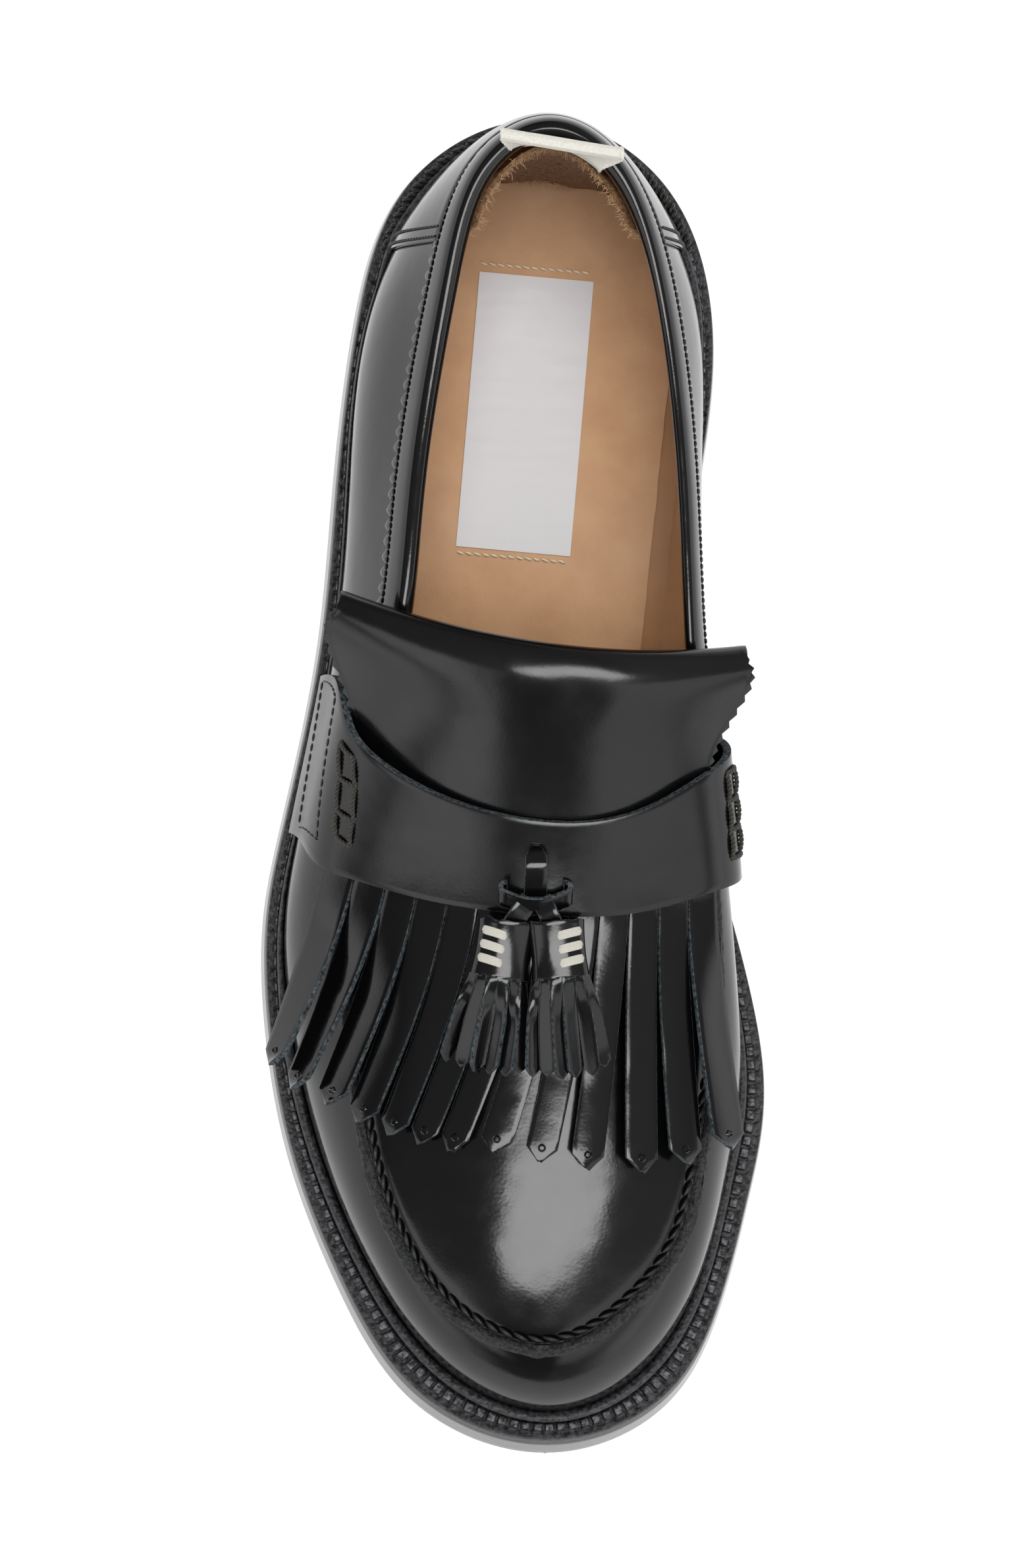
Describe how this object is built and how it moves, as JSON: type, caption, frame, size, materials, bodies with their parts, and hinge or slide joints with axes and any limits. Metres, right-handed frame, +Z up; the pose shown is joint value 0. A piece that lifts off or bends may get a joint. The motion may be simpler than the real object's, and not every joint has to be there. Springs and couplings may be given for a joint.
{
  "type": "tassel loafer",
  "caption": "Right-foot slip-on loafer in black polished leather with a fringed kiltie, instep strap, paired tassels, storm welt and low heel; stands empty on its sole.",
  "frame": {"origin": "centre of the heel's rest face, on the floor that the shoe stands on", "axes": "+Z up, -Y towards the toe, +X towards the inner side of the foot"},
  "size_m": [0.1135, 0.2984, 0.0984],
  "materials": {
    "polished_leather": "high gloss",
    "welt_leather": "waxed, satin",
    "sole_edge": "inked edge, semi-gloss",
    "insole_leather": "natural, matt",
    "ribbon": "woven, matt"
  },
  "bodies": {
    "root": {"heel": "sole_edge", "outsole": "sole_edge", "welt": "welt_leather", "insole": "insole_leather", "insole_label": "ribbon", "upper": "polished_leather", "heel_counter": "polished_leather", "collar_binding": "polished_leather", "kiltie": "polished_leather", "strap": "polished_leather", "tassel_tie": "polished_leather", "tassel_outer": "polished_leather", "tassel_inner": "polished_leather", "pull_loop": "ribbon"}
  },
  "joints": []
}
